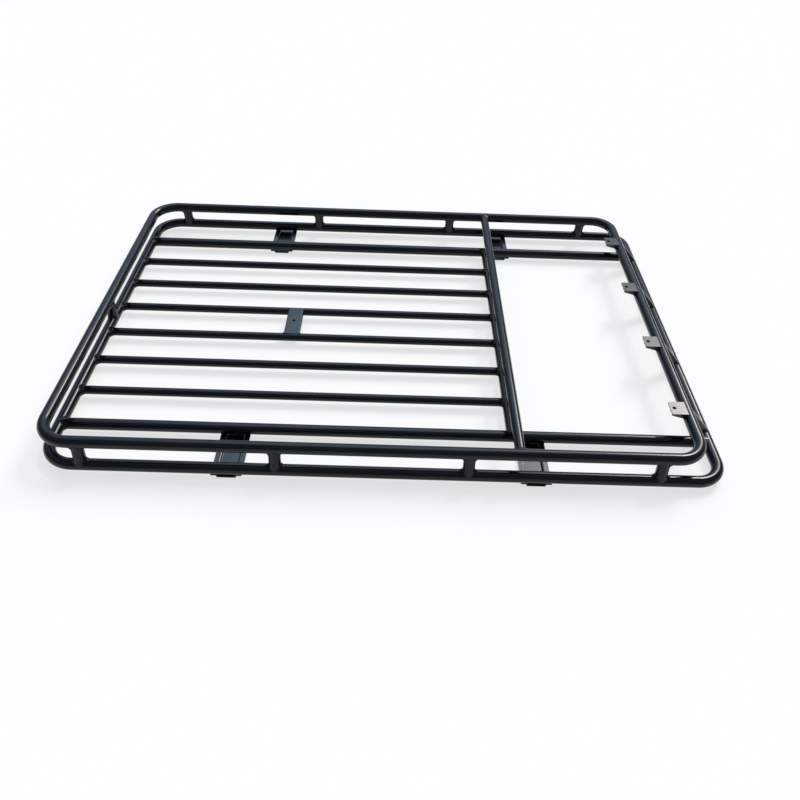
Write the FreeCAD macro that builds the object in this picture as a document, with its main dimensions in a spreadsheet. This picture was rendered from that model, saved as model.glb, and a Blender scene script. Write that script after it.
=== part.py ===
# Welded roof rack for an estate or off-road car: two bent tube rails one above the other,
# a slatted floor behind an open front bay, pressed saddles that bolt to the roof and lamp tabs in front.
# X points to the front of the car, Y to its left, Z up. The origin is under the middle, at the saddles' soles.
import FreeCAD
import Part
import Sketcher
import math
import os

# Driving dimensions, in millimetres, with what each of them measures
SIZES = {
    "rail_diameter": (32, "rails and outer floor tubes, outside"),
    "slat_diameter": (25, "inner floor slats, outside"),
    "cross_diameter": (28, "cross tubes, outside"),
    "strut_diameter": (32, "upright struts between the rails, outside"),
    "cope_trim": (2, "feather edge trimmed off every coped tube end"),
    "bottom_length": (1770, "bottom rail, rear run to front run, centre to centre"),
    "bottom_width": (1260, "bottom rail, side to side, centre to centre"),
    "top_width": (1238, "top rail, side to side, centre to centre"),
    "front_lean": (65, "how far the top rail's front run stands behind the bottom rail's"),
    "rail_rise": (70, "bottom rail up to top rail, centre to centre"),
    "rear_bend": (80, "bend radius of the rear corners, centre line"),
    "front_bend": (70, "bend radius of the front corners, centre line"),
    "slat_pitch": (138, "floor tubes, centre to centre"),
    "cross_offset": (1230, "rear run to the cross tubes"),
    "strut_first": (105, "rear run to the first side strut"),
    "strut_spacing": (498, "side struts, centre to centre"),
    "lamp_inset": (187.5, "bottom rail's side to the outermost lamp tab and front strut"),
    "sheet_thickness": (3, "pressed steel of saddles, plate and tabs"),
    "fold_radius": (4.5, "outside of a fold in pressed steel"),
    "seat_bite": (1, "how deep a pressed piece is hollowed to seat on its tube"),
    "saddle_rear": (475, "rear run to the rear saddles"),
    "saddle_front": (1280, "rear run to the front saddles"),
    "saddle_width": (80, "saddle over its flanges"),
    "saddle_web": (52, "sole of a saddle"),
    "saddle_drop": (9, "sole of a saddle below the tubes"),
    "saddle_overhang": (10, "saddle past the centre lines of its two tubes"),
    "saddle_hole": (11, "bolt hole in a saddle"),
    "saddle_hole_inset": (25, "bolt hole of a saddle from its middle, towards the middle of the rack"),
    "plate_offset": (578, "rear run to the centre plate"),
    "plate_width": (50, "centre plate over its flanges"),
    "plate_flange": (14, "depth of the centre plate"),
    "plate_hole": (10.5, "bolt hole in the centre plate"),
    "tab_width": (50, "lamp tab over its flanges"),
    "tab_reach": (52, "free end of a lamp tab behind the rail's centre line"),
    "tab_setback": (6, "welded end of a lamp tab behind the rail's centre line"),
    "tab_flange": (16, "depth of a lamp tab's flanges at the rail"),
    "tab_lip": (6, "depth of a lamp tab's flanges at the free end"),
    "tab_corner": (5, "rounded corners of a lamp tab's free end"),
    "tab_hole": (11, "lamp bolt hole"),
    "tab_hole_offset": (40, "lamp bolt hole behind the rail's centre line"),
}

SLATS = 8
SIDE_STRUTS = 4
LAMPS = 4
LEFT, RIGHT = 1, -1

doc = FreeCAD.newDocument("roof_rack")
sizes = doc.addObject("Spreadsheet::Sheet", "sizes")
for row, (name, (size, meaning)) in enumerate(SIZES.items(), start=1):
    sizes.set(f"A{row}", meaning)
    sizes.set(f"B{row}", str(size))
    sizes.setAlias(f"B{row}", name)
doc.recompute()

# Places that several pieces share, as expressions over the sheet
REAR = "(-sizes.bottom_length / 2)"
FRONT = "(sizes.bottom_length / 2)"
TOP_FRONT = "(sizes.bottom_length / 2 - sizes.front_lean)"
FLOOR = "(sizes.saddle_drop + sizes.rail_diameter / 2)"
TOP = f"({FLOOR} + sizes.rail_rise)"
JOINT = f"({REAR} + sizes.strut_first + {(SIDE_STRUTS - 1) / 2} * sizes.strut_spacing)"
CROSS = f"({REAR} + sizes.cross_offset)"
OUTER_SLAT = f"({(SLATS - 1) / 2} * sizes.slat_pitch)"
BOTTOM_SIDE = "(sizes.bottom_width / 2)"
TOP_SIDE = "(sizes.top_width / 2)"
SIDE_INSET = f"({BOTTOM_SIDE} - {TOP_SIDE})"
LAMP_STEP = f"((sizes.bottom_width - 2 * sizes.lamp_inset) / {LAMPS - 1})"
SHEET = "sizes.sheet_thickness"
FOLD, INNER_FOLD = "sizes.fold_radius", "(sizes.fold_radius - sizes.sheet_thickness)"

pieces = []


def value(expression):
    """Number that an expression over the sheet has now."""
    return float(sizes.evalExpression(expression))


def new_body(label):
    """Empty body for one piece, kept in the list of pieces to write."""
    body = doc.addObject("PartDesign::Body", label)
    body.Label = label
    pieces.append(body)
    return body


def place(body, x, y, z, yaw="0", roll="0"):
    """Ties a body's place and turn to the sheet."""
    body.setExpression("Placement", f"placement(vector({x}; {y}; {z}); rotation({yaw}; 0; {roll}))")


def new_sketch(body, plane, name, offset=None):
    """Sketch on one of the body's own origin planes, moved along its normal by an expression."""
    planes = {feature.Role: feature for feature in body.Origin.OriginFeatures}
    sketch = body.newObject("Sketcher::SketchObject", f"{body.Label}_{name}")
    sketch.AttachmentSupport = [(planes[plane], "")]
    sketch.MapMode = "FlatFace"
    if offset:
        sketch.setExpression("AttachmentOffset.Base.z", offset)
    return sketch


def bind(sketch, kind, arguments, expression):
    """Adds a dimension to a sketch and ties it to an expression."""
    index = sketch.addConstraint(Sketcher.Constraint(kind, *arguments, value(expression)))
    sketch.setExpression(f"Constraints[{index}]", expression)


def pin(sketch, geometry, point, x, y):
    """Fixes a point of a sketch by two expressions, or on an axis where one is zero."""
    for kind, expression, axis in (("DistanceX", x, -2), ("DistanceY", y, -1)):
        if expression == "0":
            sketch.addConstraint(Sketcher.Constraint("PointOnObject", geometry, point, axis))
        else:
            bind(sketch, kind, (-1, 1, geometry, point), expression)


def vector(x, y):
    return FreeCAD.Vector(value(x), value(y), 0)


def circle(sketch, x, y, diameter):
    """Circle tied to its centre and diameter."""
    radius = f"{diameter} / 2"
    shape = Part.Circle(vector(x, y), FreeCAD.Vector(0, 0, 1), value(radius))
    index = sketch.addGeometry(shape)
    pin(sketch, index, 3, x, y)
    bind(sketch, "Radius", (index,), radius)


def outline(sketch, corners):
    """Closed outline of straight lines through corners given as pairs of expressions."""
    points = [vector(x, y) for x, y in corners]
    count = len(points)
    lines = [sketch.addGeometry(Part.LineSegment(points[k], points[(k + 1) % count])) for k in range(count)]
    for k, line in enumerate(lines):
        sketch.addConstraint(Sketcher.Constraint("Coincident", lines[k - 1], 2, line, 1))
        pin(sketch, line, 1, *corners[k])


def pad(body, sketch, length, symmetric=False):
    feature = body.newObject("PartDesign::Pad", f"{sketch.Name}_pad")
    feature.Profile = sketch
    feature.setExpression("Length", length)
    if symmetric:
        feature.SideType = "Symmetric"
    return feature


def cut_through(body, sketch):
    """Cuts a sketch right through the piece, to both sides of its plane."""
    doc.recompute()
    feature = body.newObject("PartDesign::Pocket", f"{sketch.Name}_cut")
    feature.Profile = sketch
    feature.SideType = "Symmetric"
    feature.Type = "ThroughAll"
    return feature


def coped_tube(label, diameter, length, start_tube, end_tube):
    """Straight bar along its own Z, each end fish-mouthed to a tube that runs along its own X."""
    body = new_body(label)
    section = new_sketch(body, "XY_Plane", "section", "sizes.cope_trim")
    circle(section, "0", "0", diameter)
    pad(body, section, f"{length} - 2 * sizes.cope_trim")
    mouths = new_sketch(body, "YZ_Plane", "mouths")
    circle(mouths, "0", "0", start_tube)
    circle(mouths, "0", length, end_tube)
    cut_through(body, mouths)
    return body


def bent_rail_half(label, reach, side, bend):
    """U of bent tube, from its two open ends on the body's Y axis out to its end run."""
    body = new_body(label)
    path = new_sketch(body, "XY_Plane", "path")
    far, wide, radius = value(reach), value(side), value(bend)
    straight, half = far - radius, wide - radius
    up = FreeCAD.Vector(0, 0, 1)
    quarter = math.pi / 2
    left_run = path.addGeometry(Part.LineSegment(vector("0", side), FreeCAD.Vector(straight, wide, 0)))
    left_arc = path.addGeometry(Part.ArcOfCircle(
        Part.Circle(FreeCAD.Vector(straight, half, 0), up, radius), 0, quarter))
    end_run = path.addGeometry(Part.LineSegment(FreeCAD.Vector(far, half, 0), FreeCAD.Vector(far, -half, 0)))
    right_arc = path.addGeometry(Part.ArcOfCircle(
        Part.Circle(FreeCAD.Vector(straight, -half, 0), up, radius), -quarter, 0))
    right_run = path.addGeometry(Part.LineSegment(
        FreeCAD.Vector(straight, -wide, 0), FreeCAD.Vector(0, -wide, 0)))
    for first, first_end, second, second_end in (
            (left_run, 2, left_arc, 2), (left_arc, 1, end_run, 1),
            (end_run, 2, right_arc, 2), (right_arc, 1, right_run, 1)):
        path.addConstraint(Sketcher.Constraint("Tangent", first, first_end, second, second_end))
    path.addConstraint(Sketcher.Constraint("Horizontal", left_run))
    path.addConstraint(Sketcher.Constraint("Horizontal", right_run))
    path.addConstraint(Sketcher.Constraint("Equal", left_arc, right_arc))
    pin(path, left_run, 1, "0", side)
    pin(path, right_run, 2, "0", f"-{side}")
    bind(path, "Radius", (left_arc,), bend)
    bind(path, "DistanceX", (-1, 1, end_run, 1), reach)
    section = new_sketch(body, "YZ_Plane", "section")
    circle(section, side, "0", "sizes.rail_diameter")
    doc.recompute()
    bar = body.newObject("PartDesign::AdditivePipe", f"{label}_bar")
    bar.Profile = section
    bar.Spine = (path, [f"Edge{k}" for k in range(1, 6)])
    return body


def round_edges(body, direction, places, radius):
    """Rounds the straight edges of a piece that run along one axis, each found by its place across that axis."""
    doc.recompute()
    base = body.Tip
    across = [axis for axis in "XYZ" if axis != direction]
    wanted = [[value(expression) for expression in pair] for pair in places]
    names = []
    for number, edge in enumerate(base.Shape.Edges, start=1):
        ends = [[getattr(vertex, axis) for axis in across] for vertex in edge.Vertexes]
        if any(all(math.dist(end, place) < 0.01 for end in ends) for place in wanted):
            names.append(f"Edge{number}")
    feature = body.newObject("PartDesign::Fillet", f"{body.Label}_rounds")
    feature.Base = (base, names)
    feature.setExpression("Radius", radius)


def both_sides(x, z):
    """A place across the section and its mirror image."""
    return [(x, z), (f"-{x}", z)]


def channel_outline(sketch, width, top, depth):
    """Section of a channel with its open side down."""
    outer, inner = f"{width} / 2", f"({width} / 2 - {SHEET})"
    low, under = f"{top} - {depth}", f"{top} - {SHEET}"
    outline(sketch, [(f"-{outer}", top), (outer, top), (outer, low), (inner, low), (inner, under),
                     (f"-{inner}", under), (f"-{inner}", low), (f"-{outer}", low)])


def drill(body, x, y, diameter):
    """Round hole right through the piece, along its own Z."""
    hole = new_sketch(body, "XY_Plane", "hole")
    circle(hole, x, y, diameter)
    cut_through(body, hole)


def make_rails():
    """Two closed loops, each of two bent halves butted together between the middle struts."""
    for rail, front, side, height in (("bottom_rail", FRONT, BOTTOM_SIDE, FLOOR),
                                      ("top_rail", TOP_FRONT, TOP_SIDE, TOP)):
        rear_half = bent_rail_half(f"{rail}_rear", f"({JOINT} - {REAR})", side, "sizes.rear_bend")
        place(rear_half, JOINT, "0", height, yaw="180")
        front_half = bent_rail_half(f"{rail}_front", f"({front} - {JOINT})", side, "sizes.front_bend")
        place(front_half, JOINT, "0", height)


def make_floor():
    """Outer floor tubes over the full length, slats up to the lower cross tube, and both cross tubes."""
    rail, slat, cross = "sizes.rail_diameter", "sizes.slat_diameter", "sizes.cross_diameter"
    for name, side in (("left", LEFT), ("right", RIGHT)):
        tube = coped_tube(f"side_floor_tube_{name}", rail, "sizes.bottom_length", rail, rail)
        place(tube, REAR, f"{side} * {OUTER_SLAT}", FLOOR, yaw="90", roll="90")
    for k in range(1, SLATS - 1):
        tube = coped_tube(f"floor_slat_{k}", slat, "sizes.cross_offset", rail, cross)
        place(tube, REAR, f"({(SLATS - 1) / 2 - k}) * sizes.slat_pitch", FLOOR, yaw="90", roll="90")
    lower = coped_tube("lower_cross_tube", cross, f"(2 * {OUTER_SLAT})", rail, rail)
    place(lower, CROSS, f"-{OUTER_SLAT}", FLOOR, roll="-90")
    upper = coped_tube("upper_cross_tube", cross, "sizes.top_width", rail, rail)
    place(upper, CROSS, f"-{TOP_SIDE}", TOP, roll="-90")


def make_struts():
    """Uprights between the rails: four a side, one behind and one under each lamp tab."""
    rail, strut = "sizes.rail_diameter", "sizes.strut_diameter"
    for name, side in (("left", LEFT), ("right", RIGHT)):
        for k in range(SIDE_STRUTS):
            length = f"hypot({SIDE_INSET}; sizes.rail_rise)"
            tube = coped_tube(f"side_strut_{name}_{k + 1}", strut, length, rail, rail)
            place(tube, f"{REAR} + sizes.strut_first + {k} * sizes.strut_spacing",
                  f"{side} * {BOTTOM_SIDE}", FLOOR, roll=f"{side} * atan({SIDE_INSET} / sizes.rail_rise)")
    rear = coped_tube("rear_strut", strut, "sizes.rail_rise", rail, rail)
    place(rear, REAR, "0", FLOOR, yaw="90")
    for k in range(LAMPS):
        length = "hypot(sizes.front_lean; sizes.rail_rise)"
        tube = coped_tube(f"front_strut_{k + 1}", strut, length, rail, rail)
        place(tube, FRONT, f"({(LAMPS - 1) / 2 - k}) * {LAMP_STEP}", FLOOR,
              yaw="90", roll="-atan(sizes.front_lean / sizes.rail_rise)")


def make_saddle(label, offset, side):
    """Pressed hat section welded under an outer floor tube and the bottom rail, bolted through its sole."""
    body = new_body(label)
    span = f"({BOTTOM_SIDE} - {OUTER_SLAT})"
    top = "(sizes.seat_bite - sizes.rail_diameter / 2)"
    under = f"({top} - {SHEET})"
    sole = "(-sizes.rail_diameter / 2 - sizes.saddle_drop)"
    floor = f"({sole} + {SHEET})"
    flange, outer, inner = "sizes.saddle_width / 2", "sizes.saddle_web / 2", f"(sizes.saddle_web / 2 - {SHEET})"
    section = new_sketch(body, "XZ_Plane", "section")
    outline(section, [(f"-{flange}", top), (f"-{flange}", under), (f"-{outer}", under), (f"-{outer}", sole),
                      (outer, sole), (outer, under), (flange, under), (flange, top),
                      (inner, top), (inner, floor), (f"-{inner}", floor), (f"-{inner}", top)])
    pad(body, section, f"{span} + 2 * sizes.saddle_overhang", symmetric=True)
    round_edges(body, "Y", both_sides(f"({outer})", sole) + both_sides(inner, top), FOLD)
    round_edges(body, "Y", both_sides(f"({outer})", under) + both_sides(inner, floor), INNER_FOLD)
    seats = new_sketch(body, "YZ_Plane", "seats")
    for end in ("-", ""):
        circle(seats, f"{end}{span} / 2", "0", "sizes.rail_diameter")
    cut_through(body, seats)
    drill(body, "0", f"-({side} * sizes.saddle_hole_inset)", "sizes.saddle_hole")
    place(body, f"{REAR} + {offset}", f"{side} * ({BOTTOM_SIDE} + {OUTER_SLAT}) / 2", FLOOR)


def make_centre_plate():
    """Channel laid across the two middle slats, with one bolt hole."""
    body = new_body("centre_plate")
    section = new_sketch(body, "XZ_Plane", "section")
    top = f"(sizes.slat_diameter / 2 - sizes.seat_bite + {SHEET})"
    channel_outline(section, "sizes.plate_width", top, "sizes.plate_flange")
    pad(body, section, "sizes.slat_pitch", symmetric=True)
    round_edges(body, "Y", both_sides("(sizes.plate_width / 2)", top), FOLD)
    round_edges(body, "Y", both_sides(f"(sizes.plate_width / 2 - {SHEET})", f"({top} - {SHEET})"), INNER_FOLD)
    seats = new_sketch(body, "YZ_Plane", "seats")
    for end in ("-", ""):
        circle(seats, f"{end}sizes.slat_pitch / 2", "0", "sizes.slat_diameter")
    cut_through(body, seats)
    drill(body, "0", "0", "sizes.plate_hole")
    place(body, f"{REAR} + sizes.plate_offset", "0", FLOOR)


def make_lamp_tab(label, y):
    """Small bracket behind the front run: a flat top with a lamp bolt hole, and flanges that taper from the rail."""
    body = new_body(label)
    top = f"(sqrt((sizes.rail_diameter / 2)^2 - sizes.tab_setback^2) - sizes.seat_bite + {SHEET})"
    low, under = f"({top} - sizes.tab_flange)", f"({top} - {SHEET})"
    half, inner = "(sizes.tab_width / 2)", f"(sizes.tab_width / 2 - {SHEET})"
    length = "(sizes.tab_reach - sizes.tab_setback)"
    side = new_sketch(body, "XZ_Plane", "side")
    outline(side, [("0", top), (length, top), (length, low),
                   ("(sizes.tab_reach - sizes.rail_diameter / 2)", low), ("0", f"({top} - sizes.tab_lip)")])
    pad(body, side, "sizes.tab_width", symmetric=True)
    round_edges(body, "Z", [("0", half), ("0", f"-{half}")], "sizes.tab_corner")
    hollow = new_sketch(body, "YZ_Plane", "hollow")
    outline(hollow, [(f"-{inner}", under), (inner, under), (inner, f"-{SHEET}"), (f"-{inner}", f"-{SHEET}")])
    cut_through(body, hollow)
    seat = new_sketch(body, "XZ_Plane", "seat")
    circle(seat, "sizes.tab_reach", "0", "sizes.rail_diameter")
    cut_through(body, seat)
    drill(body, "(sizes.tab_reach - sizes.tab_hole_offset)", "0", "sizes.tab_hole")
    place(body, f"{TOP_FRONT} - sizes.tab_reach", y, TOP)


def make_fittings():
    """Saddles under both sides, the centre plate and the lamp tabs."""
    for name, side in (("left", LEFT), ("right", RIGHT)):
        make_saddle(f"saddle_rear_{name}", "sizes.saddle_rear", side)
        make_saddle(f"saddle_front_{name}", "sizes.saddle_front", side)
    make_centre_plate()
    for k in range(LAMPS):
        make_lamp_tab(f"lamp_tab_{k + 1}", f"({(LAMPS - 1) / 2 - k}) * {LAMP_STEP}")


def check_and_write():
    """Stops on any failed feature or broken solid, then writes each piece to its own file."""
    doc.recompute()
    failed = [f.Label for f in doc.Objects if "Invalid" in f.State or "Error" in f.State]
    if failed:
        raise RuntimeError(f"failed features: {failed}")
    for body in pieces:
        shape = body.Shape
        if shape.isNull() or not shape.isValid() or len(shape.Solids) != 1:
            raise RuntimeError(f"{body.Label} is not one valid solid")
    os.makedirs("parts", exist_ok=True)
    for body in pieces:
        body.Shape.exportStep(f"parts/{body.Label}.step")
    volume = sum(body.Shape.Volume for body in pieces)
    print(f"{len(pieces)} pieces, {volume / 1e9:.5f} cubic metres")


make_rails()
make_floor()
make_struts()
make_fittings()
check_and_write()
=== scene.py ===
# %% [markdown]
# # A welded roof rack in black powder coat
# The rack is a car's luggage tray: two bent tube rails one above the other, a floor of slats, short
# uprights between the rails, pressed saddles that bolt to the roof and four tabs for lamps. The tubes
# and pressings come from the CAD frame and keep its exact sizes. What is left for this script is what
# the welder and the paint shop leave behind: a weld round every joint, and a coat with its dust and
# rubs.

# %% Load the frame
import bpy
import math
from mathutils import Matrix, Vector


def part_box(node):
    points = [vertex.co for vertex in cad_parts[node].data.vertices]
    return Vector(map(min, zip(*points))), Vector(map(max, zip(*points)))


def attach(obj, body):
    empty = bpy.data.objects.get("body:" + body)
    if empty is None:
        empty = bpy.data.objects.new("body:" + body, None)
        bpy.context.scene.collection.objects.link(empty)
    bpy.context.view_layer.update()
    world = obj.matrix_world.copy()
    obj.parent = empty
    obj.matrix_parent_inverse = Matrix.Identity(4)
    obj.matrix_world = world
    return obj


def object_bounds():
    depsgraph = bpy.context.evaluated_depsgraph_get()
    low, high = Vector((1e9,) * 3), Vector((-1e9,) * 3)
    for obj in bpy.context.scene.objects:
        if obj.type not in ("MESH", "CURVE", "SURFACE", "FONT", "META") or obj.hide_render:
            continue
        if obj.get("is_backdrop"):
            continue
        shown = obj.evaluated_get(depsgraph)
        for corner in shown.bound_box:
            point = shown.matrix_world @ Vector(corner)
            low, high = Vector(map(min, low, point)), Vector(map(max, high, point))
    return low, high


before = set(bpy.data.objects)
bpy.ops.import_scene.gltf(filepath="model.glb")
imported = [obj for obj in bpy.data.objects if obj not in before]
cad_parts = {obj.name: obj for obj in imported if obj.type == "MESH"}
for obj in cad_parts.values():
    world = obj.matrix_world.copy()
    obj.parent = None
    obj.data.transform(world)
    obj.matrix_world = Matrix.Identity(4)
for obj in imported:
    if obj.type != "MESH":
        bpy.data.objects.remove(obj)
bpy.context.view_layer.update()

# %% [markdown]
# Every weld is placed from the centre lines of the tubes. The lines could be typed in as numbers, but
# then a rack of another size would get its welds in the wrong places. So they are read from the boxes
# of the CAD pieces.

# %% Measure the centre lines


def middle(node):
    """Middle of a CAD piece's box."""
    low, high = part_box(node)
    return (low + high) / 2


def extent(node):
    """Size of a CAD piece's box."""
    low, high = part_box(node)
    return high - low


def alike(beginning):
    """Names of the CAD pieces that begin alike, in order."""
    return sorted(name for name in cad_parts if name.startswith(beginning))


rail_radius = extent("bottom_rail_rear").z / 2
slat_radius = extent("floor_slat_1").z / 2
cross_radius = extent("upper_cross_tube").z / 2
floor_level = middle("bottom_rail_rear").z
top_level = middle("top_rail_rear").z
rear_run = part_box("bottom_rail_rear")[0].x + rail_radius
bottom_front_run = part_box("bottom_rail_front")[1].x - rail_radius
top_front_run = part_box("top_rail_front")[1].x - rail_radius
bottom_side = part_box("bottom_rail_rear")[1].y - rail_radius
top_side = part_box("top_rail_rear")[1].y - rail_radius
outer_line = middle("side_floor_tube_left").y
cross_place = middle("upper_cross_tube").x
print("radii", round(rail_radius, 4), round(slat_radius, 4), round(cross_radius, 4))
print("levels", round(floor_level, 3), round(top_level, 3))

# %% [markdown]
# ## The coat
# Powder coat is sprayed on as dust and melted in an oven. All finishes on the rack share three effects:
# the dimples that the melt leaves, the dust that settles on upward faces and the dull rubs of luggage.
# They could be painted as pictures, but the rack has hardly a flat side to lay a picture on. Noise in
# space needs none, so each effect is a node group made of noise. First come a few helpers that write a
# node as one line of code.

# %% Helpers for node trees


def wire(tree, source, socket):
    """Links a socket to another, or sets it where the source is a plain value."""
    if isinstance(source, bpy.types.NodeSocket):
        tree.links.new(source, socket)
    else:
        socket.default_value = source


def calculate(tree, operation, *values):
    """One Math node."""
    node = tree.nodes.new("ShaderNodeMath")
    node.operation = operation
    for socket, value in zip(node.inputs, values):
        wire(tree, value, socket)
    return node.outputs[0]


def noise(tree, scale, detail, stretch=(1, 1, 1)):
    """Noise on Object coordinates, which stay with the piece."""
    place = tree.nodes.new("ShaderNodeTexCoord").outputs["Object"]
    mapping = tree.nodes.new("ShaderNodeMapping")
    mapping.inputs["Scale"].default_value = stretch
    wire(tree, place, mapping.inputs["Vector"])
    texture = tree.nodes.new("ShaderNodeTexNoise")
    texture.inputs["Detail"].default_value = detail
    wire(tree, mapping.outputs["Vector"], texture.inputs["Vector"])
    wire(tree, scale, texture.inputs["Scale"])
    return texture.outputs["Fac"]


def between(tree, value, low, high):
    """Smooth step from 0 at low to 1 at high."""
    step = tree.nodes.new("ShaderNodeMapRange")
    step.interpolation_type = "SMOOTHSTEP"
    step.inputs["From Min"].default_value = low
    step.inputs["From Max"].default_value = high
    wire(tree, value, step.inputs["Value"])
    return step.outputs["Result"]


def new_effect(name, given, result):
    """Empty shader group with one number in and one number out."""
    tree = bpy.data.node_groups.new(name, "ShaderNodeTree")
    tree.interface.new_socket(given, in_out="INPUT", socket_type="NodeSocketFloat")
    tree.interface.new_socket(result, in_out="OUTPUT", socket_type="NodeSocketFloat")
    inlet = tree.nodes.new("NodeGroupInput").outputs[given]
    outlet = tree.nodes.new("NodeGroupOutput").inputs[result]
    return tree, inlet, outlet


# %% [markdown]
# The melt never flows out quite flat. It keeps fine dimples like orange skin on broad swells, which
# break up the edges of a reflection. They are far too shallow to show in an outline, so a height for a
# Bump node is enough, and no mesh has to be that fine.

# %% Orange skin: small dimples on broad swells
SKIN_DETAIL, SWELL_SCALE, SWELL_HEIGHT = 1.0, 55.0, 1.5
orange_skin, dimple_scale, skin_height = new_effect("orange_skin", "Dimple Scale", "Height")
dimples = noise(orange_skin, dimple_scale, SKIN_DETAIL)
swells = noise(orange_skin, SWELL_SCALE, SKIN_DETAIL)
wire(orange_skin, calculate(orange_skin, "MULTIPLY_ADD", swells, SWELL_HEIGHT, dimples), skin_height)
print("group", orange_skin.name, "of", len(orange_skin.nodes), "nodes")

# %% [markdown]
# Dust lies in patches with single specks on them, and only on what looks up. Broad noise gives the
# patches, very fine noise the specks, and the upward part of the face's normal says how much of both
# stays.

# %% Settled dust: a patchy film with specks, on faces that look up
LEANING, LEVEL = 0.3, 0.98
PATCH_SCALE, PATCH_DETAIL, PATCH_EDGE = 9.0, 4.0, (0.4, 0.75)
SPECK_SCALE, SPECK_DETAIL, SPECK_EDGE, SPECK_SHARE = 800.0, 2.0, (0.6, 0.75), 0.3
settled_dust, amount, mask = new_effect("settled_dust", "Amount", "Mask")
facing = settled_dust.nodes.new("ShaderNodeSeparateXYZ")
normal = settled_dust.nodes.new("ShaderNodeNewGeometry").outputs["Normal"]
wire(settled_dust, normal, facing.inputs["Vector"])
upward = between(settled_dust, facing.outputs["Z"], LEANING, LEVEL)
patches = between(settled_dust, noise(settled_dust, PATCH_SCALE, PATCH_DETAIL), *PATCH_EDGE)
specks = between(settled_dust, noise(settled_dust, SPECK_SCALE, SPECK_DETAIL), *SPECK_EDGE)
speckled = calculate(settled_dust, "MULTIPLY_ADD", specks, SPECK_SHARE, patches)
film = calculate(settled_dust, "MULTIPLY", speckled, upward)
wire(settled_dust, calculate(settled_dust, "MULTIPLY", film, amount), mask)
print("group", settled_dust.name, "of", len(settled_dust.nodes), "nodes")

# %% [markdown]
# Boxes and straps dragged over the rack rub its gloss away in streaks. Noise stretched in one direction
# gives a streak, so one stretch makes the rubs along the rack, another those across it, and the
# stronger one counts.

# %% Luggage rubs: dull streaks along and across the rack
RUB_DETAIL = 5.0
LONG_SCALE, LONG_STRETCH, LONG_EDGE = 14.0, (0.5, 6.0, 6.0), (0.6, 0.72)
SHORT_SCALE, SHORT_STRETCH, SHORT_EDGE = 40.0, (4.0, 0.5, 4.0), (0.64, 0.74)
luggage_rubs, amount, mask = new_effect("luggage_rubs", "Amount", "Mask")
long_rubs = between(luggage_rubs, noise(luggage_rubs, LONG_SCALE, RUB_DETAIL, LONG_STRETCH), *LONG_EDGE)
short_rubs = between(luggage_rubs, noise(luggage_rubs, SHORT_SCALE, RUB_DETAIL, SHORT_STRETCH), *SHORT_EDGE)
rubs = calculate(luggage_rubs, "MAXIMUM", long_rubs, short_rubs)
wire(luggage_rubs, calculate(luggage_rubs, "MULTIPLY", rubs, amount), mask)
print("group", luggage_rubs.name, "of", len(luggage_rubs.nodes), "nodes")

# %% [markdown]
# Each finish is one Principled shader. The black is never pure: dust greys it, and a rub makes it
# duller without changing its colour. Tubes, pressings and welds get the same coat with their own
# values. The pressings are flat sheet, so their coat lies smoother and mirrors the sky; a tube spreads
# the same sky into a thin line, and the coat on a weld is coarse.

# %% Finishes
DUST_COLOUR = (0.06, 0.06, 0.055)
DULLING, SKIN_STRENGTH = 0.25, 0.3


def use_effect(tree, group, given, value):
    """Places a shared effect in a material, with its one value."""
    node = tree.nodes.new("ShaderNodeGroup")
    node.node_tree = group
    node.inputs[given].default_value = value
    return node.outputs[0]


def coat(name, black, dust, rubs, roughness, specular, dimples, depth):
    """Black powder coat with settled dust and rubs."""
    material = bpy.data.materials.new(name)
    material.use_nodes = True
    tree = material.node_tree
    shader = tree.nodes["Principled BSDF"]
    shader.inputs["Specular IOR Level"].default_value = specular
    film = use_effect(tree, settled_dust, "Amount", dust)
    rubbed = use_effect(tree, luggage_rubs, "Amount", rubs)
    colour = tree.nodes.new("ShaderNodeMix")
    colour.data_type = "RGBA"
    wire(tree, film, colour.inputs["Factor"])
    wire(tree, (*black, 1), colour.inputs["A"])
    wire(tree, (*DUST_COLOUR, 1), colour.inputs["B"])
    wire(tree, colour.outputs["Result"], shader.inputs["Base Color"])
    worn = calculate(tree, "MAXIMUM", film, rubbed)
    wire(tree, calculate(tree, "MULTIPLY_ADD", worn, DULLING, roughness), shader.inputs["Roughness"])
    bump = tree.nodes.new("ShaderNodeBump")
    bump.inputs["Strength"].default_value = SKIN_STRENGTH
    bump.inputs["Distance"].default_value = depth
    wire(tree, use_effect(tree, orange_skin, "Dimple Scale", dimples), bump.inputs["Height"])
    wire(tree, bump.outputs["Normal"], shader.inputs["Normal"])
    return material


TUBE_BLACK, SHEET_BLACK = (0.0035, 0.0042, 0.0055), (0.006, 0.007, 0.009)
tube_coat = coat("tube_coat", TUBE_BLACK, dust=0.08, rubs=0.5,
                 roughness=0.12, specular=0.28, dimples=350.0, depth=0.00015)
pressed_coat = coat("pressed_coat", SHEET_BLACK, dust=0.25, rubs=0.5,
                    roughness=0.15, specular=0.5, dimples=300.0, depth=0.00012)
weld_coat = coat("weld_coat", TUBE_BLACK, dust=0.08, rubs=0.2,
                 roughness=0.30, specular=0.18, dimples=700.0, depth=0.0004)

PRESSED = ("saddle", "centre_plate", "lamp_tab")
for name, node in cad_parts.items():
    for slot in node.material_slots:
        slot.material = pressed_coat if name.startswith(PRESSED) else tube_coat
print("finishes on", len(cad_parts), "CAD pieces")

# %% [markdown]
# ## Welds round the tube ends
# Every tube end on this rack is cut to a fish mouth and welded all round to the tube it meets. The weld
# fills the corner with a hollow fillet, rippled where the welder moved on. A bevel needs an edge that
# both tubes share, and these tubes are separate pieces. But one rule gives the shape of all the welds:
# go round the seam where two cylinders meet, and at each step bend a curve from a foot on the one tube
# to a foot on the other. The rule is written once as a Geometry Nodes tree, with the two radii and the
# leg of the weld as inputs, and instanced on the joints. Again a few helpers come first.

# %% Helpers for geometry trees


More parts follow.
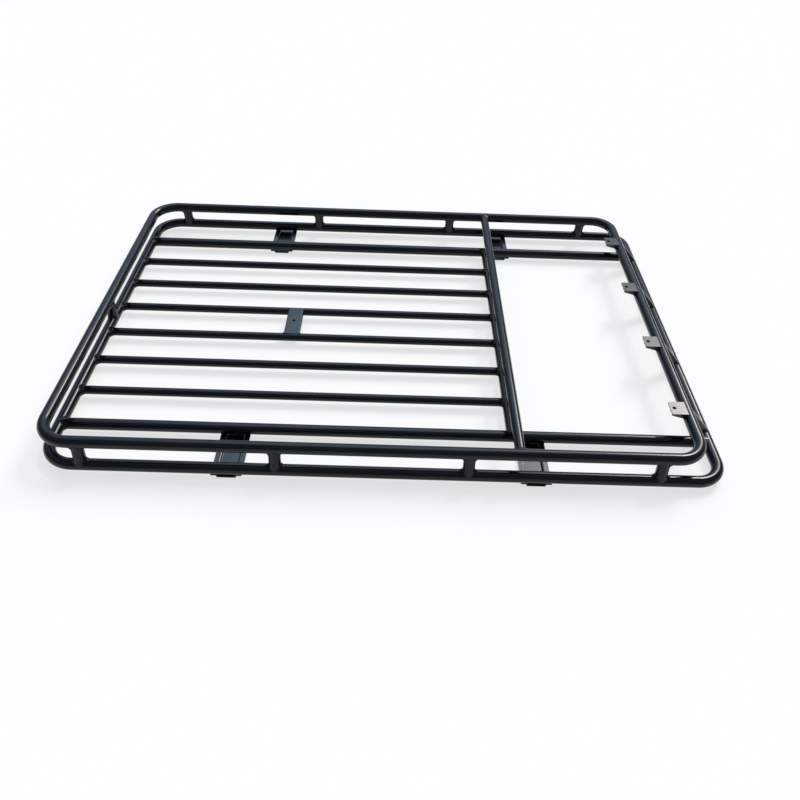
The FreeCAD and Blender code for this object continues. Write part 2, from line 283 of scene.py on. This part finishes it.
def new_geometry_tree(name, sizes):
    """Geometry tree with named sizes and a coat as inputs; returns it with its inputs by name."""
    tree = bpy.data.node_groups.new(name, "GeometryNodeTree")
    tree.interface.new_socket("Geometry", in_out="INPUT", socket_type="NodeSocketGeometry")
    for label in sizes:
        tree.interface.new_socket(label, in_out="INPUT", socket_type="NodeSocketFloat")
    tree.interface.new_socket("Coat", in_out="INPUT", socket_type="NodeSocketMaterial")
    tree.interface.new_socket("Geometry", in_out="OUTPUT", socket_type="NodeSocketGeometry")
    return tree, tree.nodes.new("NodeGroupInput").outputs


def step_through(tree, kind, geometry, **values):
    """One geometry node, fed by its first input, with other inputs by name."""
    node = tree.nodes.new(kind)
    wire(tree, geometry, node.inputs[0])
    for name, value in values.items():
        wire(tree, value, node.inputs[name.replace("_", " ")])
    return node.outputs[0]


def vector(tree, x, y, z):
    """Three numbers as one vector."""
    node = tree.nodes.new("ShaderNodeCombineXYZ")
    for socket, part in zip(node.inputs, (x, y, z)):
        wire(tree, part, socket)
    return node.outputs[0]


def vector_sum(tree, *terms):
    """Sum of vectors, each given with its factor."""
    total = None
    for term, factor in terms:
        scaled = tree.nodes.new("ShaderNodeVectorMath")
        scaled.operation = "SCALE"
        wire(tree, term, scaled.inputs[0])
        wire(tree, factor, scaled.inputs["Scale"])
        if total is None:
            total = scaled.outputs[0]
        else:
            added = tree.nodes.new("ShaderNodeVectorMath")
            wire(tree, total, added.inputs[0])
            wire(tree, scaled.outputs[0], added.inputs[1])
            total = added.outputs[0]
    return total


def paint_and_end(tree, geometry, given):
    """Realize Instances, Set Material and the tree's output."""
    real = step_through(tree, "GeometryNodeRealizeInstances", geometry)
    painted = step_through(tree, "GeometryNodeSetMaterial", real, Material=given["Coat"])
    wire(tree, painted, tree.nodes.new("NodeGroupOutput").inputs["Geometry"])


# %% [markdown]
# The weld starts as a flat grid that will be bent into a ring: its X becomes the turn round the tube,
# and its Y counts the steps over the hollow and back inside the metal.

# %% Fillet weld: the grid
AROUND, PROFILE, RETURN = 120, 6, 2
HALF_GRID = 0.5
WELD_SIZES = ("Tube Radius", "Mate Radius", "Leg", "Ripples", "Ripple Height")
fillet_weld, given = new_geometry_tree("fillet_weld", WELD_SIZES)
radius, mate, leg = given["Tube Radius"], given["Mate Radius"], given["Leg"]


def reckon(operation, *values):
    """One Math node in the weld's tree."""
    return calculate(fillet_weld, operation, *values)


grid = fillet_weld.nodes.new("GeometryNodeMeshGrid")
grid.inputs["Size X"].default_value = 2 * HALF_GRID
grid.inputs["Size Y"].default_value = 2 * HALF_GRID
grid.inputs["Vertices X"].default_value = AROUND + 1
grid.inputs["Vertices Y"].default_value = PROFILE + RETURN + 1
where = fillet_weld.nodes.new("ShaderNodeSeparateXYZ")
wire(fillet_weld, fillet_weld.nodes.new("GeometryNodeInputPosition").outputs[0], where.inputs[0])
turn = reckon("MULTIPLY", reckon("ADD", where.outputs["X"], HALF_GRID), math.tau)
step = reckon("MULTIPLY", reckon("ADD", where.outputs["Y"], HALF_GRID), PROFILE + RETURN)
print("grid of", AROUND, "by", PROFILE + RETURN, "faces")

# %% [markdown]
# The welded tube stands along Z and its mate lies along X. A point of the seam lies on both cylinders:
# the turn gives its place on the tube, and the mate's circle gives how high it is there.

# %% Fillet weld: the seam
along = reckon("MULTIPLY", radius, reckon("COSINE", turn))
across = reckon("MULTIPLY", radius, reckon("SINE", turn))
rise_squared = reckon("SUBTRACT", reckon("MULTIPLY", mate, mate), reckon("MULTIPLY", across, across))
rise = reckon("SQRT", reckon("MAXIMUM", rise_squared, 0.0))
seam = vector(fillet_weld, along, across, rise)
print("nodes up to the seam", len(fillet_weld.nodes))

# %% [markdown]
# One foot of the weld stands up the tube and one lies out on the mate, both a leg away from the seam.
# They are sunk a little under the surface, so that no gap shows, and the root of the weld lies deep
# inside the metal.

# %% Fillet weld: two feet and a root
SUNK, DEEP = 0.985, 0.75
tube_foot = vector(fillet_weld, reckon("MULTIPLY", along, SUNK), reckon("MULTIPLY", across, SUNK),
                   reckon("ADD", rise, leg))
seam_sine = reckon("MINIMUM", reckon("MAXIMUM", reckon("DIVIDE", across, mate), -1.0), 1.0)
seam_angle = reckon("ARCSINE", seam_sine)
foot_angle = reckon("MULTIPLY_ADD", reckon("DIVIDE", leg, mate), reckon("SINE", turn), seam_angle)
sunk_mate = reckon("MULTIPLY", mate, SUNK)
mate_foot = vector(fillet_weld, reckon("MULTIPLY_ADD", leg, reckon("COSINE", turn), along),
                   reckon("MULTIPLY", sunk_mate, reckon("SINE", foot_angle)),
                   reckon("MULTIPLY", sunk_mate, reckon("COSINE", foot_angle)))
root = vector_sum(fillet_weld, (seam, DEEP))
print("nodes up to the feet", len(fillet_weld.nodes))

# %% [markdown]
# The hollow is a curve from foot to foot that is pulled towards the seam. The ripples ride on its
# middle and die out at both feet, as they do where molten metal wets the tube.

# %% Fillet weld: the hollow and its ripples
share = reckon("MINIMUM", reckon("DIVIDE", step, PROFILE), 1.0)
rest = reckon("SUBTRACT", 1.0, share)
bow = reckon("MULTIPLY", reckon("MULTIPLY", share, rest), 2.0)
hollow = vector_sum(fillet_weld, (tube_foot, reckon("MULTIPLY", rest, rest)), (seam, bow),
                    (mate_foot, reckon("MULTIPLY", share, share)))
outward = fillet_weld.nodes.new("ShaderNodeVectorMath")
outward.operation = "NORMALIZE"
from_seam = vector_sum(fillet_weld, (tube_foot, 1.0), (mate_foot, 1.0), (seam, -2.0))
wire(fillet_weld, from_seam, outward.inputs[0])
half_ripples = reckon("MULTIPLY", given["Ripples"], 0.5)
wave = reckon("ABSOLUTE", reckon("SINE", reckon("MULTIPLY", turn, half_ripples)))
ripple = reckon("MULTIPLY", reckon("MULTIPLY", given["Ripple Height"], wave), reckon("MULTIPLY", bow, 2.0))
face = vector_sum(fillet_weld, (hollow, 1.0), (outward.outputs[0], ripple))
print("nodes up to the hollow", len(fillet_weld.nodes))

# %% [markdown]
# After the hollow the profile goes to the root and back to the first foot, which closes it. Merging the
# doubled points makes the ring watertight, and one ring is placed on each joint, turned as the joint
# says.

# %% Fillet weld: close the ring and place it
HALF_STEP, DOUBLED = 0.5, 0.00002


def from_step(limit, before, after):
    """One shape before a step of the profile and another after it."""
    node = fillet_weld.nodes.new("GeometryNodeSwitch")
    node.input_type = "VECTOR"
    wire(fillet_weld, reckon("GREATER_THAN", step, limit), node.inputs["Switch"])
    wire(fillet_weld, before, node.inputs["False"])
    wire(fillet_weld, after, node.inputs["True"])
    return node.outputs[0]


face_then_root = from_step(PROFILE + HALF_STEP, face, root)
closed_profile = from_step(PROFILE + 1 + HALF_STEP, face_then_root, tube_foot)
ring = step_through(fillet_weld, "GeometryNodeSetPosition", grid.outputs["Mesh"], Position=closed_profile)
ring = step_through(fillet_weld, "GeometryNodeMergeByDistance", ring, Distance=DOUBLED)
ring = step_through(fillet_weld, "GeometryNodeFlipFaces", ring)
ring = step_through(fillet_weld, "GeometryNodeSetShadeSmooth", ring)
attitude = fillet_weld.nodes.new("GeometryNodeInputNamedAttribute")
attitude.data_type = "FLOAT_VECTOR"
attitude.inputs["Name"].default_value = "attitude"
rotation = step_through(fillet_weld, "FunctionNodeEulerToRotation", attitude.outputs["Attribute"])
rings = step_through(fillet_weld, "GeometryNodeInstanceOnPoints", given["Geometry"],
                     Instance=ring, Rotation=rotation)
paint_and_end(fillet_weld, rings, given)
print("weld tree of", len(fillet_weld.nodes), "nodes")

# %% [markdown]
# A joint is a point on the centre line of the mate, the direction in which the welded tube leaves it
# and the direction in which the mate runs. The lists below walk over the rack: slats, outer floor
# tubes, cross tubes, then the uprights, which have a weld at each end.

# %% Joints of the rack
FORWARD, LEFTWARD, UPWARD = Vector((1, 0, 0)), Vector((0, 1, 0)), Vector((0, 0, 1))


def joint(place, leaves, mate_runs):
    """Place of one weld, and its turn as three angles."""
    z = leaves.normalized()
    return Vector(place), Matrix((mate_runs, z.cross(mate_runs), z)).transposed().to_euler()


def upright(low, high, mate_runs):
    """Welds at the foot and the head of an upright."""
    low, high = Vector(low), Vector(high)
    return [joint(low, high - low, mate_runs), joint(high, low - high, mate_runs)]


slat_lines = [middle(slat).y for slat in alike("floor_slat_")]
slat_to_rear = [joint((rear_run, y, floor_level), FORWARD, LEFTWARD) for y in slat_lines]
slat_to_cross = [joint((cross_place, y, floor_level), -FORWARD, LEFTWARD) for y in slat_lines]

rail_joints, cross_joints = [], []
for name, side in (("left", 1), ("right", -1)):
    rail_joints.append(joint((rear_run, side * outer_line, floor_level), FORWARD, LEFTWARD))
    rail_joints.append(joint((bottom_front_run, side * outer_line, floor_level), -FORWARD, LEFTWARD))
    cross_joints.append(joint((cross_place, side * outer_line, floor_level), -side * LEFTWARD, FORWARD))
    cross_joints.append(joint((cross_place, side * top_side, top_level), -side * LEFTWARD, FORWARD))
    for strut in alike(f"side_strut_{name}_"):
        x = middle(strut).x
        foot, head = (x, side * bottom_side, floor_level), (x, side * top_side, top_level)
        rail_joints += upright(foot, head, FORWARD)
for strut in alike("front_strut_"):
    y = middle(strut).y
    rail_joints += upright((bottom_front_run, y, floor_level), (top_front_run, y, top_level), LEFTWARD)
rail_joints += upright((rear_run, 0, floor_level), (rear_run, 0, top_level), LEFTWARD)

# %% [markdown]
# The tree now runs on each list, and its result is kept as a plain mesh that rides on the rack. The
# slats' rear ends have the heaviest welds.

# %% Weld the joints


def grow(name, points, edges, tree, sizes, attitudes=()):
    """Runs a geometry tree on points and edges, and keeps the result as a plain mesh on the rack."""
    seed = bpy.data.meshes.new(name + "_seed")
    seed.from_pydata(points, edges, [])
    if attitudes:
        turns = seed.attributes.new("attitude", "FLOAT_VECTOR", "POINT")
        turns.data.foreach_set("vector", [angle for attitude in attitudes for angle in attitude])
    piece = bpy.data.objects.new(name, seed)
    bpy.context.scene.collection.objects.link(piece)
    modifier = piece.modifiers.new(tree.name, "NODES")
    modifier.node_group = tree
    inlets = [item for item in tree.interface.items_tree if item.in_out == "INPUT"]
    identifiers = {item.name: item.identifier for item in inlets}
    for label, value in {**sizes, "Coat": weld_coat}.items():
        modifier[identifiers[label]] = value
    solid = bpy.data.meshes.new_from_object(piece.evaluated_get(bpy.context.evaluated_depsgraph_get()))
    piece.modifiers.clear()
    piece.data = solid
    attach(piece, "root")
    print(name, len(solid.polygons), "faces")


LEG = rail_radius * 0.62
HEAVY_LEG = LEG * 1.3
RIPPLE_SHARE = 0.05


def weld_all_round(name, joints, tube_radius, mate_radius, leg, ripples):
    """One mesh with a fillet weld on each joint."""
    sizes = {"Tube Radius": tube_radius, "Mate Radius": mate_radius, "Leg": leg,
             "Ripples": ripples, "Ripple Height": leg * RIPPLE_SHARE}
    grow(name, [place for place, _ in joints], [], fillet_weld, sizes, [attitude for _, attitude in joints])


weld_all_round("weld_slats_rear", slat_to_rear, slat_radius, rail_radius, HEAVY_LEG, ripples=22.0)
weld_all_round("weld_slats_cross", slat_to_cross, slat_radius, cross_radius, LEG, ripples=22.0)
weld_all_round("weld_rails", rail_joints, rail_radius, rail_radius, LEG, ripples=28.0)
weld_all_round("weld_cross_tubes", cross_joints, cross_radius, rail_radius, LEG, ripples=24.0)

# %% [markdown]
# ## Beads along the pressings
# The lamp tabs and the centre plate are hollowed to fit their tubes, and the saddles hang under theirs.
# A thin bead follows the edges of a pressing where it meets a tube. Some edges are arcs and some are
# straight, but each bead is a path with a round section. So a second tree turns a path into a curve,
# sweeps a circle along it and lets the circle swell and shrink for the ripples.

# %% Bead tree
BEAD_STEPS, BEAD_SIDES = 48, 12
THIN, SWELLING = 0.85, 0.25
seat_bead, given = new_geometry_tree("seat_bead", ("Thickness", "Ripple Pitch"))
path = step_through(seat_bead, "GeometryNodeMeshToCurve", given["Geometry"])
path = step_through(seat_bead, "GeometryNodeResampleCurve", path, Count=BEAD_STEPS)
reached = seat_bead.nodes.new("GeometryNodeSplineParameter").outputs["Length"]
half_turns = calculate(seat_bead, "MULTIPLY", reached, math.pi)
phase = calculate(seat_bead, "DIVIDE", half_turns, given["Ripple Pitch"])
wave = calculate(seat_bead, "ABSOLUTE", calculate(seat_bead, "SINE", phase))
section = seat_bead.nodes.new("GeometryNodeCurvePrimitiveCircle")
section.inputs["Resolution"].default_value = BEAD_SIDES
wire(seat_bead, calculate(seat_bead, "DIVIDE", given["Thickness"], 2.0), section.inputs["Radius"])
bead = step_through(seat_bead, "GeometryNodeCurveToMesh", path, Profile_Curve=section.outputs["Curve"],
                    Scale=calculate(seat_bead, "MULTIPLY_ADD", wave, SWELLING, THIN), Fill_Caps=True)
bead = step_through(seat_bead, "GeometryNodeSetShadeSmooth", bead)
paint_and_end(seat_bead, bead, given)
print("bead tree of", len(seat_bead.nodes), "nodes")

# %% [markdown]
# A lamp tab sits over the front run: its two sides follow the tube up to the welded end, and a third
# bead runs across that end. The centre plate rests on two slats and has a quarter turn of bead at each
# of its corners.

# %% Paths on tabs and plate


def arc(centre, start, top, radius, turn, count=16):
    """Points round a tube, from one direction over another."""
    angles = [turn * k / count for k in range(count + 1)]
    return [centre + radius * (math.cos(a) * start + math.sin(a) * top) for a in angles]


paths = []
for tab in alike("lamp_tab_"):
    low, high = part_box(tab)
    welded_end = math.acos((top_front_run - high.x) / rail_radius)
    centres = [Vector((top_front_run, y, top_level)) for y in (low.y, high.y)]
    sides = [arc(centre, -FORWARD, UPWARD, rail_radius, welded_end) for centre in centres]
    paths += sides + [[sides[0][-1], sides[1][-1]]]
low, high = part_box("centre_plate")
for slat in ("floor_slat_3", "floor_slat_4"):
    inward = -math.copysign(1, middle(slat).y) * LEFTWARD
    for x in (low.x, high.x):
        centre = Vector((x, middle(slat).y, floor_level))
        paths.append(arc(centre, inward, UPWARD, slat_radius, math.pi / 2))
print("paths", len(paths))

# %% [markdown]
# A saddle touches two tubes with the flanges at both of its edges. On each flange a short straight bead
# lies on either side of the tube.

# %% Paths on the saddles, along both sides of each tube
FLANGE, BESIDE_SEAT = 0.013, 0.53 * rail_radius
for name in ("rear_left", "rear_right", "front_left", "front_right"):
    low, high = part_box(f"saddle_{name}")
    for tube in (outer_line, bottom_side):
        for y in (tube - BESIDE_SEAT, tube + BESIDE_SEAT):
            seat = Vector((0, math.copysign(y, low.y), high.z))
            for x in (low.x, high.x - FLANGE):
                paths.append([seat + x * FORWARD, seat + (x + FLANGE) * FORWARD])
print("paths", len(paths))

# %% [markdown]
# All the paths go into one mesh of points and edges, so that one run of the tree lays every bead.

# %% Lay the beads
BEAD_THICKNESS, BEAD_PITCH = 0.005, 0.0035
points, edges = [], []
for path in paths:
    first = len(points)
    points += path
    edges += [(first + k, first + k + 1) for k in range(len(path) - 1)]
grow("weld_pressings", points, edges, seat_bead, {"Thickness": BEAD_THICKNESS, "Ripple Pitch": BEAD_PITCH})

# %% [markdown]
# ## Captive nuts
# The bolt holes in the lamp tabs and the centre plate look black, as holes do that have a nut welded
# under them: little light comes up through its bore. A nut is a six-sided bar with a bore cut out. It
# could be modelled once and copied by hand, but a tree instances it on the holes and takes any sizes.

# %% Nut tree
HEXAGON, BORE_SIDES, BORE_OVERCUT = 6, 24, 1.5
captive_nut, given = new_geometry_tree("captive_nut", ("Across Flats", "Height", "Bore"))
bar, bore = (captive_nut.nodes.new("GeometryNodeMeshCylinder") for _ in range(2))
bar.inputs["Vertices"].default_value = HEXAGON
bore.inputs["Vertices"].default_value = BORE_SIDES
corner_radius = calculate(captive_nut, "DIVIDE", given["Across Flats"], math.sqrt(3))
wire(captive_nut, corner_radius, bar.inputs["Radius"])
wire(captive_nut, calculate(captive_nut, "DIVIDE", given["Bore"], 2.0), bore.inputs["Radius"])
wire(captive_nut, given["Height"], bar.inputs["Depth"])
wire(captive_nut, calculate(captive_nut, "MULTIPLY", given["Height"], BORE_OVERCUT), bore.inputs["Depth"])
cut = captive_nut.nodes.new("GeometryNodeMeshBoolean")
cut.operation = "DIFFERENCE"
wire(captive_nut, bar.outputs["Mesh"], cut.inputs["Mesh 1"])
wire(captive_nut, bore.outputs["Mesh"], cut.inputs["Mesh 2"])
nuts = step_through(captive_nut, "GeometryNodeInstanceOnPoints", given["Geometry"],
                    Instance=cut.outputs["Mesh"])
paint_and_end(captive_nut, nuts, given)
print("nut tree of", len(captive_nut.nodes), "nodes")

# %% [markdown]
# A tab's hole lies near its free end, in the middle of its width, and the plate's hole in the plate's
# middle. Each nut sits against the sheet from below.

# %% Nuts under the holes
SHEET, HOLE_FROM_END = 0.003, 0.012
NUT = {"Across Flats": 0.017, "Height": 0.007, "Bore": 0.0105}
holes = []
for tab in alike("lamp_tab_"):
    low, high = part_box(tab)
    holes.append(Vector((low.x + HOLE_FROM_END, (low.y + high.y) / 2, high.z)))
plate_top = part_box("centre_plate")[1].z
holes.append(Vector((middle("centre_plate").x, 0, plate_top)))
seats = [hole - UPWARD * (SHEET + NUT["Height"] / 2) for hole in holes]
grow("captive_nuts", seats, [], captive_nut, NUT)

# %% [markdown]
# ## The studio
# The rack lies on a plain pale floor. More light would make the floor white, but would grey the black
# coat too. So a share of the floor's look is a glow of its own that only the camera and mirror-like
# rays see. It is white to the eye, and the rest of it still catches the rack's soft shadow.

# %% Floor
FLOOR_SIZE, FLOOR_COLOUR, GLOW_SHARE = 60, (0.95, 0.90, 0.85, 1), 0.68
bpy.ops.mesh.primitive_plane_add(size=FLOOR_SIZE)
floor = bpy.context.object
floor.name = "floor"
floor_paint = bpy.data.materials.new("floor_paint")
floor_paint.use_nodes = True
tree = floor_paint.node_tree
matt = tree.nodes["Principled BSDF"]
matt.inputs["Base Color"].default_value = FLOOR_COLOUR
matt.inputs["Roughness"].default_value = 1.0
matt.inputs["Specular IOR Level"].default_value = 0.0
glow = tree.nodes.new("ShaderNodeEmission")
ray = tree.nodes.new("ShaderNodeLightPath").outputs
mirrored = calculate(tree, "MAXIMUM", ray["Is Glossy Ray"], ray["Is Transmission Ray"])
seen = calculate(tree, "MAXIMUM", ray["Is Camera Ray"], mirrored)
mixed = tree.nodes.new("ShaderNodeMixShader")
wire(tree, calculate(tree, "MULTIPLY", seen, GLOW_SHARE), mixed.inputs[0])
wire(tree, matt.outputs[0], mixed.inputs[1])
wire(tree, glow.outputs[0], mixed.inputs[2])
wire(tree, mixed.outputs[0], tree.nodes["Material Output"].inputs["Surface"])
floor.data.materials.append(floor_paint)
floor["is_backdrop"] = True
print("floor at z = 0")

# %% [markdown]
# A glossy black coat shows what it reflects more than its own colour, so the sky does more than any
# lamp could. An even sky would draw each tube as a wide grey band. This one is dim all over, with two
# broad cool glows behind and above the rack, which turn the flat pressings blue grey, and a small warm
# glow with two bright cores behind the front corner, which greys the lamp tabs and draws thin lines of
# light along the tubes.

# %% Sky


def sky_direction(azimuth, elevation):
    """Unit vector; azimuth turns from +Y towards +X."""
    a, e = math.radians(azimuth), math.radians(elevation)
    return math.sin(a) * math.cos(e), math.cos(a) * math.cos(e), math.sin(e)


FILL = (0.22, 0.26, 0.31)
GLOWS = (
    # direction, colour at its middle, how narrow it is
    (sky_direction(-5, 40), (0.60, 0.85, 1.25), 8.0),
    (sky_direction(0, 66), (1.5, 2.1, 2.8), 16.0),
    (sky_direction(33, 44), (11.0, 10.4, 9.6), 56.0),
    (sky_direction(38, 48), (65.0, 60.0, 54.0), 500.0),
    (sky_direction(34, 34), (39.0, 36.0, 32.0), 600.0),
)
world = bpy.data.worlds.new("overcast")
bpy.context.scene.world = world
world.use_nodes = True
sky = world.node_tree
looking = sky.nodes.new("ShaderNodeTexCoord").outputs["Generated"]
terms = [(FILL, 1.0)]
for towards, colour, narrowness in GLOWS:
    dot = sky.nodes.new("ShaderNodeVectorMath")
    dot.operation = "DOT_PRODUCT"
    wire(sky, looking, dot.inputs[0])
    wire(sky, towards, dot.inputs[1])
    ahead_only = calculate(sky, "MAXIMUM", dot.outputs["Value"], 0.0)
    terms.append((colour, calculate(sky, "POWER", ahead_only, narrowness)))
wire(sky, vector_sum(sky, *terms), sky.nodes["Background"].inputs["Color"])
print("sky of", len(GLOWS), "glows")

# %% [markdown]
# ## The camera
# The picture is taken from the rack's right side, looking down at it from standing height. The distance
# and the angles were worked out from the tubes themselves, whose spacing is known.

# %% Camera
EYE = Vector((0.00614, -1.89746, 1.43144))
YAW, PITCH, ROLL = 0.0199, 0.7371, -0.0436
FOCAL_PIXELS, PICTURE_PIXELS, SENSOR = 728.29, 800, 36.0

ahead = Vector((math.sin(YAW) * math.cos(PITCH), math.cos(YAW) * math.cos(PITCH), -math.sin(PITCH)))
right = Vector((math.cos(YAW), -math.sin(YAW), 0))
down = ahead.cross(right)
picture_x = right * math.cos(ROLL) + down * math.sin(ROLL)
picture_y = right * math.sin(ROLL) - down * math.cos(ROLL)
camera_data = bpy.data.cameras.new("camera")
camera_data.sensor_width = SENSOR
camera_data.lens = FOCAL_PIXELS / PICTURE_PIXELS * SENSOR
camera = bpy.data.objects.new("camera", camera_data)
camera_turn = Matrix((picture_x, picture_y, -ahead)).transposed()
camera.matrix_world = Matrix.Translation(EYE) @ camera_turn.to_4x4()
bpy.context.scene.collection.objects.link(camera)
bpy.context.scene.camera = camera
bpy.context.scene.view_settings.view_transform = "Standard"
print("lens", round(camera_data.lens, 2), "mm")

# %% [markdown]
# Last, the box of the dressed rack is printed. Only a weld stands out of the CAD box, by less than a
# millimetre. Only a weld may stand out of it, by less than a millimetre.

# %% Finish
low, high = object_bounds()
print("visual box", [round(v, 3) for v in low], [round(v, 3) for v in high])
